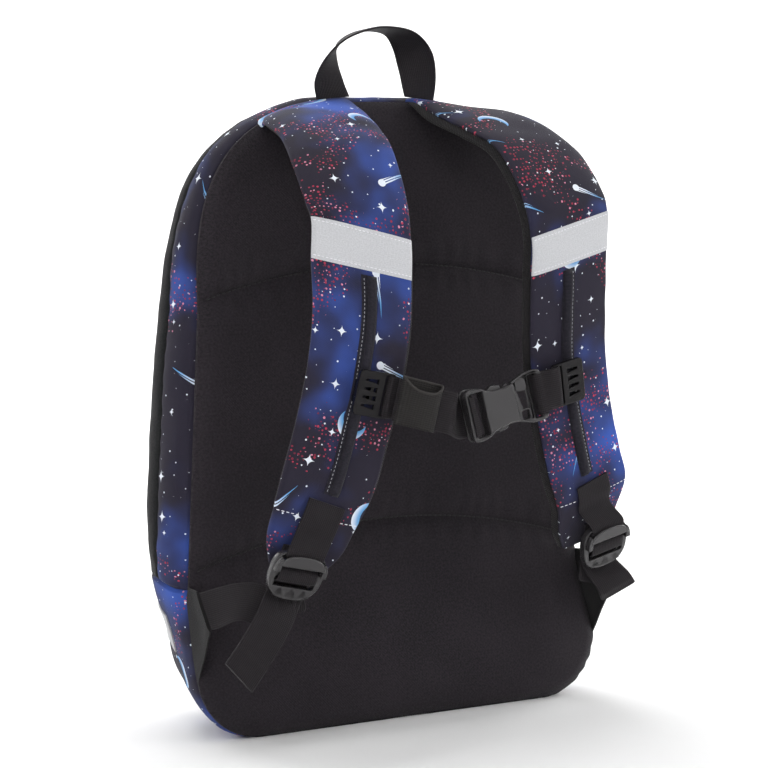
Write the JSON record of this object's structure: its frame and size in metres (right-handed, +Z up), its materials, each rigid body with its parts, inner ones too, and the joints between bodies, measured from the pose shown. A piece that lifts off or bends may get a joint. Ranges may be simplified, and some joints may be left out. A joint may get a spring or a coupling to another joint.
{
  "type": "kids backpack",
  "caption": "Soft zipped kids backpack with a padded back panel, padded shoulder straps, a buckled sternum strap and a webbing grab handle.",
  "frame": {"origin": "on the ground under the middle of the bag's box, straps included", "axes": "+Z up, -Y towards the wearer's back, +X to the right seen from the wearer's side"},
  "size_m": [0.3134, 0.2528, 0.4394],
  "materials": {
    "print_cloth": "printed polyester, dark night sky with small motifs",
    "black_cloth": "matt black padded polyester",
    "zip_tape": "black woven zip tape with a nylon coil",
    "webbing": "black ribbed polypropylene webbing",
    "moulded_plastic": "moulded charcoal plastic",
    "reflective_tape": "light grey reflective tape"
  },
  "bodies": {
    "root": {"back_panel": "black_cloth", "gusset_back_strip": "print_cloth", "zip_band": "zip_tape", "gusset_front_strip": "print_cloth", "bottom_gusset": "print_cloth", "front_panel": "print_cloth", "zip_slider": "moulded_plastic", "side_reflector_left": "reflective_tape", "side_reflector_right": "reflective_tape", "shoulder_strap_left": "black_cloth", "shoulder_strap_right": "black_cloth", "strap_cover_left": "print_cloth", "strap_cover_right": "print_cloth", "strap_reflector_left": "reflective_tape", "strap_reflector_right": "reflective_tape", "strap_rail_left": "black_cloth", "strap_rail_right": "black_cloth", "strap_end_webbing_left": "webbing", "strap_end_webbing_right": "webbing", "ladder_lock_left": "moulded_plastic", "ladder_lock_right": "moulded_plastic", "lower_webbing_left": "webbing", "lower_webbing_right": "webbing", "side_tab_left": "black_cloth", "side_tab_right": "black_cloth", "grab_handle": "webbing", "sternum_slider_left": "moulded_plastic", "sternum_slider_right": "moulded_plastic", "buckle_female": "moulded_plastic", "buckle_male": "moulded_plastic", "sternum_webbing_left": "webbing", "sternum_webbing_right": "webbing", "sternum_keeper": "webbing"}
  },
  "joints": []
}
